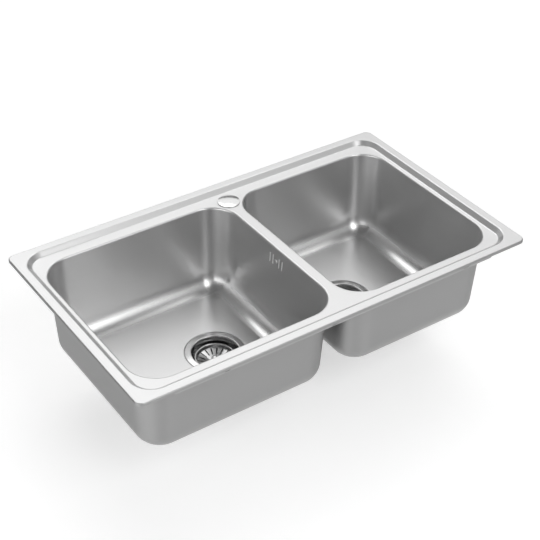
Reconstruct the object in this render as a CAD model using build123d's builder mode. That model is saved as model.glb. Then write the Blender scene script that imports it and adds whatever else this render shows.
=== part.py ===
# Inset kitchen sink: a pressed steel top with two welded bowls, clip rails, two basket
# wastes and one overflow. All sizes are in millimetres.
# The origin is the plan centre of the sink, on the worktop that the rim's lip stands on.
# +X runs to the right along the sink, +Y to the back and +Z up.

import os
from math import atan2, cos, degrees, radians, sin, tan

from build123d import *

os.makedirs("parts", exist_ok=True)

# Fits
fit_gap = 0.2
thread_gap = 0.05
rest_gap = 0.3
level_tolerance = 0.01

# Plan of the sink
side_margin = 36.0
front_margin = 44.5
back_margin = 49.5
divider_width = 25.0
left_bowl_length = 395.0
right_bowl_length = 338.0
bowl_width = 386.0

# Pressed top
sheet = 0.8
lip_height = 6.0
lip_corner_radius = 14.0
lip_edge_radius = 2.5
rim_width = 17.5
step_drop = 8.8
step_run = 9.2
step_corner_radius = 42.0
step_edge_radius = 4.0
mouth_radius = 4.0
collar_height = 10.0

# Bowls
bowl_depth = 180.0
bowl_draft = 3.2
bowl_corner_radius = 58.0
floor_radius = 38.0

# Clip rails under the rim
rail_setback = 12.0
rail_end_margin = 65.0
rail_sheet = 1.0
rail_bend_radius = 2.0
rail_height = 20.0
rail_flange = 6.0
rail_end_slope = 10.0
clip_slot_length = 16.0
clip_slot_height = 8.0
clip_slot_drop = 14.5
long_rail_slots = (-241.0, -20.0, 280.0)
short_rail_slots = (-90.0, 90.0)

# Sound pads under the bowls
pad_length = 200.0
pad_width = 60.0
pad_thickness = 2.0
pad_corner_radius = 8.0
pad_spacing = 15.0

# Tap hole and its blanking cap
tap_hole_inset = 57.5
tap_hole_radius = 17.5
cap_radius = 22.0
cap_height = 4.6
cap_edge_height = 1.6
cap_lift = 0.3
cap_wall = 1.6
cap_stud_radius = 3.0
cap_stud_length = 26.0
cap_gasket_width = 5.5
cap_washer_radius = 21.0
cap_washer_thickness = 2.0
wing_nut_radius = 6.0
wing_nut_height = 8.0
wing_span = 34.0
wing_drop = 7.0
wing_tip_height = 9.0
wing_root_height = 6.0
wing_thickness = 2.6

# Basket wastes: how far each centre stands from the divider side of its bowl
left_waste_offset = 138.5
right_waste_offset = 135.0
seat_depth = 2.4
seat_clearance = 1.3
seat_edge_radius = 1.0
waste_sheet = 1.0
flange_radius = 57.7
flange_sink = 0.9
flange_rise = 1.8
flange_edge_radius = 1.0
cup_radius = 45.0
cup_depth = 38.0
cup_taper = 2.0
cup_mouth_radius = 2.5
cup_bend_radius = 6.0
cup_hole_clearance = 1.0
drain_slot_radius = 15.0
drain_slot_length = 13.0
drain_slot_width = 9.0
drain_slot_count = 5
flange_seal_inset = 2.2
flange_seal_width = 7.0

# Clamp screw through the middle of the waste
screw_radius = 3.0
screw_head_radius = 6.0
screw_head_height = 3.5
screw_head_edge = 1.2
screw_length = 24.0

# Moulded waste body
body_inner_radius = 50.0
body_wall = 3.2
body_taper = 1.0
body_depth = 44.0
body_flange_radius = 57.5
body_gasket_thickness = 2.5
funnel_height = 14.0
funnel_bend_radius = 6.0
outlet_thread_radius = 23.9
outlet_length = 34.0
boss_radius = 7.0
boss_length = 25.0
spider_arm_count = 4
spider_arm_thickness = 3.0
gusset_count = 8
gusset_height = 24.0
gusset_thickness = 2.0

# Strainer basket
basket_sheet = 0.8
basket_radius = 40.3
basket_drop = 12.0
basket_rim_width = 4.0
basket_rim_turn = 2.5
basket_wall_run = 1.5
basket_wall_height = 7.5
basket_dish = 6.5
basket_hub_radius = 13.0
basket_bend_radius = 1.5
strainer_slot_count = 18
strainer_slot_width = 2.7
strainer_slot_inner = 20.0
strainer_slot_overlap = 0.2
strainer_slot_turn = 13.0
knob_radius = 7.5
knob_neck_radius = 4.5
knob_height = 13.4
knob_neck_height = 5.0
knob_shoulder_height = 10.4
knob_stud_radius = 2.5
knob_stud_length = 2.6
grip_radius = 9.5
grip_foot_radius = 12.5
grip_foot_height = 1.6
seal_clamp_height = 7.8
plug_seal_radius = 24.0
plug_lip_width = 2.2

# Overflow in the divider wall of the left bowl
overflow_depth = 27.7
overflow_slot_pitch = 9.6
overflow_slot_length = 21.0
overflow_slot_width = 3.0
overflow_liner_wall = 0.6
overflow_liner_sink = 0.1
overflow_box_width = 62.0
overflow_box_height = 38.0
overflow_box_depth = 22.0
overflow_box_wall = 2.0
overflow_box_radius = 8.0
overflow_gasket_thickness = 2.0
overflow_gasket_width = 5.0
overflow_screw_radius = 2.0
overflow_screw_head_radius = 4.2
overflow_screw_head_height = 1.8
overflow_screw_head_edge = 0.9
overflow_screw_length = 18.0
overflow_boss_radius = 4.5
pipe_radius = 8.5
pipe_wall = 1.5
pipe_bend_radius = 40.0
socket_wall = 2.2
socket_depth = 14.0
spigot_length = 22.0
inlet_drop = 27.0
inlet_reach = 76.0
nut_radius = 14.0
nut_grip = 10.0
nut_lip = 4.0
nut_flute_radius = 1.2
nut_flute_count = 12

# Levels and places that follow from the sizes above
length = 2 * side_margin + left_bowl_length + divider_width + right_bowl_length
width = front_margin + bowl_width + back_margin
rim_top = lip_height
rim_under = rim_top - sheet
deck_top = rim_top - step_drop
deck_under = deck_top - sheet
weld_level = deck_top - collar_height
floor_level = deck_top - bowl_depth
seat_level = floor_level - seat_depth
bowl_y = (front_margin - back_margin) / 2
left_bowl_x = -length / 2 + side_margin + left_bowl_length / 2
right_bowl_x = length / 2 - side_margin - right_bowl_length / 2
divider_left = left_bowl_x + left_bowl_length / 2
divider_right = right_bowl_x - right_bowl_length / 2
divider_x = (divider_left + divider_right) / 2
left_waste_x = divider_left - left_waste_offset
right_waste_x = divider_right + right_waste_offset
step_angle = degrees(atan2(step_run, step_drop))


def radial_plane(x, y, z, angle=0.0):
    """Upright plane through a vertical axis: sketch x is the radius and sketch y the height."""
    turn = radians(angle)
    return Plane(origin=(x, y, z), x_dir=(cos(turn), sin(turn), 0), z_dir=(sin(turn), -cos(turn), 0))


def level_face(shape, level):
    """The flat face of a shape that lies at a given height."""
    flat_faces = shape.faces().filter_by(Plane.XY)
    return flat_faces.filter_by_position(Axis.Z, level - level_tolerance, level + level_tolerance)[0]


# Air above the stepped deck: a shallow tray with sloping sides
with BuildPart() as recess_space:
    with BuildSketch(Plane.XY.offset(deck_top)):
        RectangleRounded(length - 2 * rim_width, width - 2 * rim_width, step_corner_radius)
    extrude(amount=step_drop)
    slopes = recess_space.faces().filter_by(Axis.Z, reverse=True)
    draft(slopes, Plane.XY.offset(rim_top), -step_angle)
    fillet(level_face(recess_space, deck_top).edges(), step_edge_radius)


def bowl_space(bowl_x, bowl_length, waste_x):
    """Air inside one bowl: drafted walls, a rounded floor and a sunk seat for the waste."""
    with BuildPart() as space:
        with BuildSketch(Plane.XY.offset(floor_level)):
            with Locations((bowl_x, bowl_y)):
                RectangleRounded(bowl_length, bowl_width, bowl_corner_radius)
        extrude(amount=bowl_depth)
        walls = space.faces().filter_by(Axis.Z, reverse=True)
        draft(walls, Plane.XY.offset(deck_top), -bowl_draft)
        fillet(level_face(space, floor_level).edges(), floor_radius)
        with BuildSketch(Plane.XY.offset(floor_level)):
            with Locations((waste_x, bowl_y)):
                Circle(flange_radius + seat_clearance)
        extrude(amount=-seat_depth)
        fillet(level_face(space, seat_level).edges(), seat_edge_radius)
        fillet(level_face(space, floor_level).inner_wires()[0].edges(), seat_edge_radius)
    return space.part


left_space = bowl_space(left_bowl_x, left_bowl_length, left_waste_x)
right_space = bowl_space(right_bowl_x, right_bowl_length, right_waste_x)

# Pressed top: a blank with the finished upper surface, hollowed from below to sheet thickness
with BuildPart() as deck:
    with BuildSketch(Plane.XY.offset(weld_level)):
        RectangleRounded(length, width, lip_corner_radius)
    extrude(amount=rim_top - weld_level)
    fillet(level_face(deck, rim_top).edges(), lip_edge_radius)
    add(recess_space.part, mode=Mode.SUBTRACT)
    fillet(level_face(deck, rim_top).inner_wires()[0].edges(), step_edge_radius)
    add(left_space, mode=Mode.SUBTRACT)
    add(right_space, mode=Mode.SUBTRACT)
    mouth_edges = [edge for wire in level_face(deck, deck_top).inner_wires() for edge in wire.edges()]
    fillet(mouth_edges, mouth_radius)
    offset(amount=-sheet, openings=level_face(deck, weld_level))
    # The outer wall is trimmed to the lip, the collars round the bowls stay
    with BuildSketch(Plane.XY.offset(weld_level)):
        Rectangle(length + 4 * sheet, width + 4 * sheet)
        RectangleRounded(
            length - 4 * sheet, width - 4 * sheet, lip_corner_radius - 2 * sheet, mode=Mode.SUBTRACT
        )
    extrude(amount=-weld_level, mode=Mode.SUBTRACT)
    # Tap hole at the back of the deck, between the bowls
    tap_hole_y = width / 2 - tap_hole_inset
    with BuildSketch(Plane.XY.offset(deck_top)):
        with Locations((divider_x, tap_hole_y)):
            Circle(tap_hole_radius)
    extrude(amount=2 * sheet, both=True, mode=Mode.SUBTRACT)
deck.part.label = "deck"
export_step(deck.part, "parts/deck.step")

# Where the overflow meets the outer face of the left bowl's divider wall.
# Sketch x runs to the back, sketch y runs up the wall and the normal points into the divider.
overflow_level = deck_top - overflow_depth
wall_lean = radians(bowl_draft)
wall_x = divider_left - overflow_depth * tan(wall_lean) + sheet / cos(wall_lean)
overflow_wall = Plane(
    origin=(wall_x, 0, overflow_level), x_dir=(0, 1, 0), z_dir=(cos(wall_lean), 0, -sin(wall_lean))
)
overflow_slots = [overflow_slot_pitch * step for step in (-2, -1, 1, 2)]

# Bowls, drawn from sheet and welded to the collars of the top
with BuildPart() as left_bowl:
    add(left_space)
    split(bisect_by=Plane.XY.offset(weld_level), keep=Keep.BOTTOM)
    offset(amount=sheet, openings=level_face(left_bowl, weld_level))
    with BuildSketch(Plane.XY.offset(seat_level)):
        with Locations((left_waste_x, bowl_y)):
            Circle(cup_radius + waste_sheet + cup_hole_clearance)
    extrude(amount=2 * sheet, both=True, mode=Mode.SUBTRACT)
    with BuildSketch(overflow_wall):
        with Locations(*[(place, 0) for place in overflow_slots]):
            SlotOverall(overflow_slot_length, overflow_slot_width, rotation=90)
        Circle(overflow_screw_radius + fit_gap)
    extrude(amount=2 * sheet, both=True, mode=Mode.SUBTRACT)
left_bowl.part.label = "left_bowl"
export_step(left_bowl.part, "parts/left_bowl.step")

with BuildPart() as right_bowl:
    add(right_space)
    split(bisect_by=Plane.XY.offset(weld_level), keep=Keep.BOTTOM)
    offset(amount=sheet, openings=level_face(right_bowl, weld_level))
    with BuildSketch(Plane.XY.offset(seat_level)):
        with Locations((right_waste_x, bowl_y)):
            Circle(cup_radius + waste_sheet + cup_hole_clearance)
    extrude(amount=2 * sheet, both=True, mode=Mode.SUBTRACT)
right_bowl.part.label = "right_bowl"
export_step(right_bowl.part, "parts/right_bowl.step")

# Clip rails: bent angles welded under the rim, with slots for the fixing clips.
# Each web stands upright, its sketch x runs along the rail and its normal points outwards.
rail_front = -width / 2 + rail_setback
rail_side = -length / 2 + rail_setback
long_rail = length - 2 * rail_end_margin
short_rail = width - 2 * rail_end_margin
rails = {
    "front": (Plane((0, rail_front, rim_under), (1, 0, 0), (0, -1, 0)), long_rail, long_rail_slots),
    "rear": (Plane((0, -rail_front, rim_under), (-1, 0, 0), (0, 1, 0)), long_rail, long_rail_slots),
    "left": (Plane((rail_side, 0, rim_under), (0, -1, 0), (-1, 0, 0)), short_rail, short_rail_slots),
    "right": (Plane((-rail_side, 0, rim_under), (0, 1, 0), (1, 0, 0)), short_rail, short_rail_slots),
}
for side, (web_plane, rail_length, slot_places) in rails.items():
    # In the bent profile, sketch x runs outwards and sketch y runs down
    with BuildPart() as clip_rail:
        with BuildSketch(Plane(web_plane.origin, web_plane.z_dir, web_plane.x_dir)):
            with BuildLine():
                FilletPolyline(
                    (rail_flange, 0),
                    (-rail_sheet, 0),
                    (-rail_sheet, rail_height),
                    radius=rail_bend_radius,
                )
                offset(amount=rail_sheet, side=Side.RIGHT)
            make_face()
        extrude(amount=rail_length / 2, both=True)
        across_web = Axis(web_plane.origin, web_plane.z_dir)
        chamfer(clip_rail.edges().filter_by(across_web).group_by(Axis.Z)[0], rail_end_slope)
        with BuildSketch(web_plane):
            with Locations(*[(place, -clip_slot_drop) for place in slot_places]):
                SlotOverall(clip_slot_length, clip_slot_height)
        extrude(amount=2 * rail_sheet, both=True, mode=Mode.SUBTRACT)
    clip_rail.part.label = f"{side}_clip_rail"
    export_step(clip_rail.part, f"parts/{side}_clip_rail.step")

# Foam seal inside the lip
seal_outer = sheet + fit_gap
seal_inner = rail_setback - rail_flange - fit_gap
with BuildPart() as rim_seal:
    with BuildSketch(Plane.XY.offset(fit_gap)):
        RectangleRounded(length - 2 * seal_outer, width - 2 * seal_outer, lip_corner_radius - seal_outer)
        RectangleRounded(
            length - 2 * seal_inner,
            width - 2 * seal_inner,
            lip_corner_radius - seal_inner,
            mode=Mode.SUBTRACT,
        )
    extrude(amount=rim_under - fit_gap)
    chamfer(level_face(rim_seal, rim_under).outer_wire().edges(), lip_edge_radius - sheet)
rim_seal.part.label = "rim_seal"
export_step(rim_seal.part, "parts/rim_seal.step")

# Sound pads stuck under each floor, in front of and behind the waste
pad_y = body_flange_radius + pad_spacing + pad_width / 2
for side, bowl_x in (("left", left_bowl_x), ("right", right_bowl_x)):
    with BuildPart() as sound_pads:
        with BuildSketch(Plane.XY.offset(floor_level - sheet)):
            with Locations((bowl_x, bowl_y - pad_y), (bowl_x, bowl_y + pad_y)):
                RectangleRounded(pad_length, pad_width, pad_corner_radius)
        extrude(amount=-pad_thickness)
    sound_pads.part.label = f"{side}_sound_pads"
    export_step(sound_pads.part, f"parts/{side}_sound_pads.step")

# Blanking cap of the tap hole, with its gasket, backing washer and wing nut
cap_axis = Axis((divider_x, tap_hole_y, deck_top), (0, 0, 1))
cap_plane = radial_plane(divider_x, tap_hole_y, deck_top)
with BuildPart() as tap_hole_cap:
    with BuildSketch(cap_plane):
        with BuildLine():
            crown = TangentArc((0, cap_height), (cap_radius, cap_edge_height), tangent=(1, 0))
            Polyline(
                crown @ 1,
                (cap_radius, cap_lift),
                (cap_radius - cap_wall, cap_lift),
                (cap_radius - cap_wall, cap_edge_height),
                (cap_stud_radius, cap_edge_height),
                (cap_stud_radius, cap_edge_height - cap_stud_length),
                (0, cap_edge_height - cap_stud_length),
                crown @ 0,
            )
        make_face()
    revolve(axis=cap_axis)
tap_hole_cap.part.label = "tap_hole_cap"
export_step(tap_hole_cap.part, "parts/tap_hole_cap.step")

with BuildPart() as cap_gasket:
    with BuildSketch(Plane.XY.offset(deck_top)):
        with Locations((divider_x, tap_hole_y)):
            Circle(cap_radius - cap_wall - rest_gap)
            Circle(cap_radius - cap_wall - rest_gap - cap_gasket_width, mode=Mode.SUBTRACT)
    extrude(amount=cap_edge_height)
cap_gasket.part.label = "cap_gasket"
export_step(cap_gasket.part, "parts/cap_gasket.step")

with BuildPart() as cap_washer:
    with BuildSketch(Plane.XY.offset(deck_under)):
        with Locations((divider_x, tap_hole_y)):
            Circle(cap_washer_radius)
            Circle(cap_stud_radius + fit_gap, mode=Mode.SUBTRACT)
    extrude(amount=-cap_washer_thickness)
cap_washer.part.label = "cap_washer"
export_step(cap_washer.part, "parts/cap_washer.step")

nut_top = deck_under - cap_washer_thickness
with BuildPart() as cap_wing_nut:
    with BuildSketch(Plane.XY.offset(nut_top)):
        with Locations((divider_x, tap_hole_y)):
            Circle(wing_nut_radius)
    extrude(amount=-wing_nut_height)
    with BuildSketch(radial_plane(divider_x, tap_hole_y, nut_top - wing_nut_height)):
        with BuildLine():
            wing_outline = Polyline(
                (0, 0),
                (wing_span / 2, -wing_drop),
                (wing_span / 2, wing_tip_height - wing_drop),
                (wing_nut_radius, wing_root_height),
                (0, wing_root_height),
            )
            mirror(wing_outline, about=Plane.YZ)
        make_face()
    extrude(amount=wing_thickness / 2, both=True)
    with BuildSketch(Plane.XY.offset(nut_top)):
        with Locations((divider_x, tap_hole_y)):
            Circle(cap_stud_radius + fit_gap)
    extrude(amount=-wing_nut_height - wing_drop, mode=Mode.SUBTRACT)
cap_wing_nut.part.label = "cap_wing_nut"
export_step(cap_wing_nut.part, "parts/cap_wing_nut.step")

# Overflow: gasket, box, screw and the rigid pipe to the left waste
with BuildPart() as overflow_gasket:
    with BuildSketch(overflow_wall):
        RectangleRounded(overflow_box_width, overflow_box_height, overflow_box_radius)
        RectangleRounded(
            overflow_box_width - 2 * overflow_gasket_width,
            overflow_box_height - 2 * overflow_gasket_width,
            overflow_box_radius - overflow_gasket_width,
            mode=Mode.SUBTRACT,
        )
    extrude(amount=overflow_gasket_thickness)
overflow_gasket.part.label = "overflow_gasket"
export_step(overflow_gasket.part, "parts/overflow_gasket.step")

pipe_bore = pipe_radius - pipe_wall
socket_radius = pipe_radius + fit_gap
spigot_radius = socket_radius + socket_wall
box_face = overflow_wall.offset(overflow_gasket_thickness)
box_bottom = overflow_level - overflow_box_height / 2
spigot_end = box_bottom - spigot_length
with BuildPart() as overflow_box:
    with BuildSketch(box_face):
        RectangleRounded(overflow_box_width, overflow_box_height, overflow_box_radius)
    extrude(amount=overflow_box_depth)
    fillet(overflow_box.faces().sort_by(Axis.X)[-1].edges(), overflow_box_wall)
    with BuildSketch(Plane.XY.offset(spigot_end)):
        with Locations((divider_x, 0)):
            Circle(spigot_radius)
    extrude(amount=spigot_length + overflow_box_wall)
    with BuildSketch(box_face):
        RectangleRounded(
            overflow_box_width - 2 * overflow_box_wall,
            overflow_box_height - 2 * overflow_box_wall,
            overflow_box_radius - overflow_box_wall,
        )
    extrude(amount=overflow_box_depth - overflow_box_wall, mode=Mode.SUBTRACT)
    with BuildSketch(Plane.XY.offset(spigot_end)):
        with Locations((divider_x, 0)):
            Circle(pipe_bore)
    extrude(amount=spigot_length + 2 * overflow_box_wall, mode=Mode.SUBTRACT)
    with BuildSketch(Plane.XY.offset(spigot_end)):
        with Locations((divider_x, 0)):
            Circle(socket_radius)
    extrude(amount=socket_depth, mode=Mode.SUBTRACT)
    # Front plate with a liner for each slot, which reaches through the wall of the bowl
    with BuildSketch(box_face):
        RectangleRounded(
            overflow_box_width - 2 * overflow_box_wall,
            overflow_box_height - 2 * overflow_box_wall,
            overflow_box_radius - overflow_box_wall,
        )
    extrude(amount=overflow_box_wall)
    liner_length = overflow_slot_length - 2 * fit_gap
    liner_width = overflow_slot_width - 2 * fit_gap
    with BuildSketch(overflow_wall.offset(overflow_liner_sink - sheet)):
        with Locations(*[(place, 0) for place in overflow_slots]):
            SlotOverall(liner_length, liner_width, rotation=90)
    extrude(amount=sheet - overflow_liner_sink + overflow_gasket_thickness + overflow_box_wall)
    with BuildSketch(overflow_wall.offset(overflow_liner_sink - sheet)):
        with Locations(*[(place, 0) for place in overflow_slots]):
            SlotOverall(
                liner_length - 2 * overflow_liner_wall, liner_width - 2 * overflow_liner_wall, rotation=90
            )
    extrude(amount=sheet + overflow_gasket_thickness + overflow_box_wall, mode=Mode.SUBTRACT)
    # Boss for the screw, reaching through the gasket to the wall of the bowl
    with BuildSketch(overflow_wall.offset(fit_gap)):
        Circle(overflow_boss_radius)
    extrude(amount=overflow_gasket_thickness + overflow_box_depth - overflow_box_wall)
    with BuildSketch(overflow_wall):
        Circle(overflow_screw_radius + thread_gap)
    extrude(amount=overflow_screw_length, mode=Mode.SUBTRACT)
overflow_box.part.label = "overflow_box"
export_step(overflow_box.part, "parts/overflow_box.step")

with BuildPart() as overflow_screw:
    with BuildSketch(overflow_wall.offset(-sheet)):
        Circle(overflow_screw_head_radius)
    extrude(amount=-overflow_screw_head_height)
    fillet(overflow_screw.faces().sort_by(Axis.X)[0].edges(), overflow_screw_head_edge)
    with BuildSketch(overflow_wall.offset(-sheet)):
        Circle(overflow_screw_radius)
    extrude(amount=overflow_screw_length)
overflow_screw.part.label = "overflow_screw"
export_step(overflow_screw.part, "parts/overflow_screw.step")

# The pipe drops between the bowls and turns towards the axis of the left waste
inlet_level = floor_level - inlet_drop
pipe_run = Vector(left_waste_x - divider_x, bowl_y, 0)
run_direction = pipe_run.normalized()
pipe_plane = Plane((divider_x, 0, inlet_level), run_direction, run_direction.cross(Vector(0, 0, 1)))
pipe_top = spigot_end + socket_depth - fit_gap
pipe_end = pipe_run.length - inlet_reach + socket_depth - fit_gap
with BuildPart() as overflow_pipe:
    with BuildLine(pipe_plane) as pipe_route:
        FilletPolyline((0, pipe_top - inlet_level), (0, 0), (pipe_end, 0), radius=pipe_bend_radius)
    with BuildSketch(Plane(pipe_route.line @ 0, z_dir=pipe_route.line % 0)):
        Circle(pipe_radius)
        Circle(pipe_bore, mode=Mode.SUBTRACT)
    sweep()
overflow_pipe.part.label = "overflow_pipe"
export_step(overflow_pipe.part, "parts/overflow_pipe.step")

# Slip nuts that hold the pipe in the two sockets, with fluted grips
inlet_plane = Plane((left_waste_x, bowl_y, inlet_level), (0, 0, 1), -run_direction)
nut_planes = (
    Plane((divider_x, 0, spigot_end + nut_grip), (1, 0, 0), (0, 0, -1)),
    inlet_plane.offset(inlet_reach - nut_grip),
)
with BuildPart() as overflow_pipe_nuts:
    for nut_plane in nut_planes:
        with BuildSketch(nut_plane):
            Circle(nut_radius)
            with PolarLocations(nut_radius, nut_flute_count):
                Circle(nut_flute_radius, mode=Mode.SUBTRACT)
        extrude(amount=nut_grip + nut_lip)
        with BuildSketch(nut_plane):
            Circle(spigot_radius + fit_gap)
        extrude(amount=nut_grip + fit_gap, mode=Mode.SUBTRACT)
        with BuildSketch(nut_plane):
            Circle(pipe_radius + fit_gap)
        extrude(amount=nut_grip + nut_lip, mode=Mode.SUBTRACT)
overflow_pipe_nuts.part.label = "overflow_pipe_nuts"
export_step(overflow_pipe_nuts.part, "parts/overflow_pipe_nuts.step")

# Basket wastes. Heights in these profiles are measured from the bowl floor.
flange_slope = flange_rise / (flange_radius - cup_radius)
body_top = -seat_depth - sheet - body_gasket_thickness
outlet_bore = outlet_thread_radius - body_wall
funnel_end = -body_depth - funnel_height
boss_top = -cup_depth - waste_sheet - rest_gap
basket_foot = -basket_drop - basket_wall_height
basket_foot_radius = basket_radius - basket_rim_width - basket_wall_run
strainer_slot_outer = basket_foot_radius + strainer_slot_overlap
hub_top = basket_foot - basket_dish
hub_under = hub_top - basket_sheet
seal_foot = rest_gap - cup_depth
seal_inner_radius = grip_radius + fit_gap
seal_clamp_level = hub_under - seal_clamp_height
head_room = screw_head_height + rest_gap - cup_depth


def flange_under(radius):
    """Height of the flange's underside at a given radius."""
    return flange_slope * (flange_radius - radius) - flange_sink - waste_sheet


for side, waste_x in (("left", left_waste_x), ("right", right_waste_x)):
    waste_axis = Axis((waste_x, bowl_y, 0), (0, 0, 1))
    waste_plane = radial_plane(waste_x, bowl_y, floor_level)

    # Pressed flange and cup in one piece, with drain slots round the screw
    with BuildPart() as waste_flange:
        with BuildSketch(waste_plane):
            with BuildLine():
                FilletPolyline(
                    (flange_radius, fit_gap - seat_depth),
                    (flange_radius, -flange_sink),
                    (cup_radius, flange_rise - flange_sink),
                    (cup_radius - cup_taper, -cup_depth),
                    (screw_radius + fit_gap, -cup_depth),
                    radius=[flange_edge_radius, cup_mouth_radius, cup_bend_radius],
                )
                offset(amount=waste_sheet, side=Side.LEFT)
            make_face()
        revolve(axis=waste_axis)
        with BuildSketch(Plane.XY.offset(floor_level - cup_depth)):
            with Locations((waste_x, bowl_y)):
                with PolarLocations(drain_slot_radius, drain_slot_count):
                    SlotOverall(drain_slot_length, drain_slot_width, rotation=90)
        extrude(amount=2 * waste_sheet, both=True, mode=Mode.SUBTRACT)
    waste_flange.part.label = f"{side}_waste_flange"
    export_step(waste_flange.part, f"parts/{side}_waste_flange.step")

    # Rubber seal between the flange and its sunk seat
    flange_seal_outer = flange_radius - flange_seal_inset
    flange_seal_inner = flange_seal_outer - flange_seal_width
    with BuildPart() as flange_seal:
        with BuildSketch(waste_plane):
            with BuildLine():
                Polyline(
                    (flange_seal_inner, -seat_depth),
                    (flange_seal_outer, -seat_depth),
                    (flange_seal_outer, flange_under(flange_seal_outer) - fit_gap),
                    (flange_seal_inner, flange_under(flange_seal_inner) - fit_gap),
                    close=True,
                )
            make_face()
        revolve(axis=waste_axis)
    flange_seal.part.label = f"{side}_flange_seal"
    export_step(flange_seal.part, f"parts/{side}_flange_seal.step")

    # Rubber gasket between the underside of the bowl and the waste body
    with BuildPart() as body_gasket:
        with BuildSketch(Plane.XY.offset(floor_level + body_top)):
            with Locations((waste_x, bowl_y)):
                Circle(body_flange_radius - fit_gap)
                Circle(body_inner_radius, mode=Mode.SUBTRACT)
        extrude(amount=body_gasket_thickness)
    body_gasket.part.label = f"{side}_body_gasket"
    export_step(body_gasket.part, f"parts/{side}_body_gasket.step")

    # Moulded body: flanged chamber, funnel and threaded outlet, with a spider for the screw
    with BuildPart() as waste_body:
        with BuildSketch(waste_plane):
            with BuildLine():
                FilletPolyline(
                    (body_inner_radius, body_top),
                    (body_inner_radius - body_taper, -body_depth),
                    (outlet_bore, funnel_end),
                    (outlet_bore, funnel_end - outlet_length),
                    radius=funnel_bend_radius,
                )
                offset(amount=body_wall, side=Side.LEFT)
            make_face()
        revolve(axis=waste_axis)
        with BuildSketch(Plane.XY.offset(floor_level + body_top)):
            with Locations((waste_x, bowl_y)):
                Circle(body_flange_radius)
                Circle(body_inner_radius, mode=Mode.SUBTRACT)
        extrude(amount=-body_wall)
        for place in range(gusset_count):
            with BuildSketch(radial_plane(waste_x, bowl_y, floor_level, 360 * place / gusset_count)):
                with BuildLine():
                    Polyline(
                        (body_inner_radius + body_wall / 2, body_top - body_wall),
                        (body_flange_radius, body_top - body_wall),
                        (body_inner_radius + body_wall / 2, body_top - body_wall - gusset_height),
                        close=True,
                    )
                make_face()
            extrude(amount=gusset_thickness / 2, both=True)
        for place in range(spider_arm_count):
            with BuildSketch(radial_plane(waste_x, bowl_y, floor_level, 360 * place / spider_arm_count)):
                with BuildLine():
                    Polyline(
                        (0, -body_depth - body_wall / 2),
                        (body_inner_radius - body_taper, -body_depth - body_wall / 2),
                        (outlet_bore, funnel_end - body_wall / 2),
                        (0, funnel_end - body_wall / 2),
                        close=True,
                    )
                make_face()
            extrude(amount=spider_arm_thickness / 2, both=True)
        with BuildSketch(Plane.XY.offset(floor_level + boss_top)):
            with Locations((waste_x, bowl_y)):
                Circle(boss_radius)
        extrude(amount=-boss_length)
        with BuildSketch(Plane.XY.offset(floor_level + boss_top)):
            with Locations((waste_x, bowl_y)):
                Circle(screw_radius + thread_gap)
        extrude(amount=-boss_length, mode=Mode.SUBTRACT)
        if side == "left":
            # Inlet spigot for the overflow pipe
            with BuildSketch(inlet_plane.offset(body_inner_radius)):
                Circle(spigot_radius)
            extrude(amount=inlet_reach - body_inner_radius)
            with BuildSketch(inlet_plane.offset(cup_radius)):
                Circle(pipe_bore)
            extrude(amount=inlet_reach - cup_radius, mode=Mode.SUBTRACT)
            with BuildSketch(inlet_plane.offset(inlet_reach - socket_depth)):
                Circle(socket_radius)
            extrude(amount=socket_depth, mode=Mode.SUBTRACT)
    waste_body.part.label = f"{side}_waste_body"
    export_step(waste_body.part, f"parts/{side}_waste_body.step")

    # Screw that clamps the cup to the body
    with BuildPart() as clamp_screw:
        with BuildSketch(Plane.XY.offset(floor_level - cup_depth)):
            with Locations((waste_x, bowl_y)):
                Circle(screw_head_radius)
        extrude(amount=screw_head_height)
        fillet(clamp_screw.faces().sort_by(Axis.Z)[-1].edges(), screw_head_edge)
        with BuildSketch(Plane.XY.offset(floor_level - cup_depth)):
            with Locations((waste_x, bowl_y)):
                Circle(screw_radius)
        extrude(amount=-screw_length)
    clamp_screw.part.label = f"{side}_clamp_screw"
    export_step(clamp_screw.part, f"parts/{side}_clamp_screw.step")

    # Strainer basket: a flat rim, a steep wall and a dish with a ring of radial slots
    with BuildPart() as basket:
        with BuildSketch(waste_plane):
            with BuildLine():
                FilletPolyline(
                    (basket_radius, -basket_drop - basket_rim_turn),
                    (basket_radius, -basket_drop),
                    (basket_radius - basket_rim_width, -basket_drop),
                    (basket_foot_radius, basket_foot),
                    (basket_hub_radius, hub_top),
                    (knob_stud_radius + fit_gap, hub_top),
                    radius=basket_bend_radius,
                )
                offset(amount=basket_sheet, side=Side.LEFT)
            make_face()
        revolve(axis=waste_axis)
        with BuildSketch(Plane.XY.offset(floor_level + hub_under)):
            with Locations((waste_x, bowl_y)):
                slot_middle = (strainer_slot_inner + strainer_slot_outer) / 2
                with PolarLocations(slot_middle, strainer_slot_count, strainer_slot_turn):
                    SlotOverall(strainer_slot_outer - strainer_slot_inner, strainer_slot_width)
        extrude(amount=basket_dish + basket_sheet, mode=Mode.SUBTRACT)
    basket.part.label = f"{side}_basket"
    export_step(basket.part, f"parts/{side}_basket.step")

    # Knob in the middle of the basket, with the stud that holds the grip below
    with BuildPart() as basket_knob:
        with BuildSketch(waste_plane):
            with BuildLine():
                knob_side = Polyline(
                    (0, hub_top - knob_stud_length),
                    (knob_stud_radius, hub_top - knob_stud_length),
                    (knob_stud_radius, hub_top),
                    (knob_radius, hub_top),
                    (knob_neck_radius, hub_top + knob_neck_height),
                    (knob_radius, hub_top + knob_shoulder_height),
                )
                knob_crown = TangentArc((0, hub_top + knob_height), knob_side @ 1, tangent=(1, 0))
                Line(knob_crown @ 0, knob_side @ 0)
            make_face()
        revolve(axis=waste_axis)
    basket_knob.part.label = f"{side}_basket_knob"
    export_step(basket_knob.part, f"parts/{side}_basket_knob.step")

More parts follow.
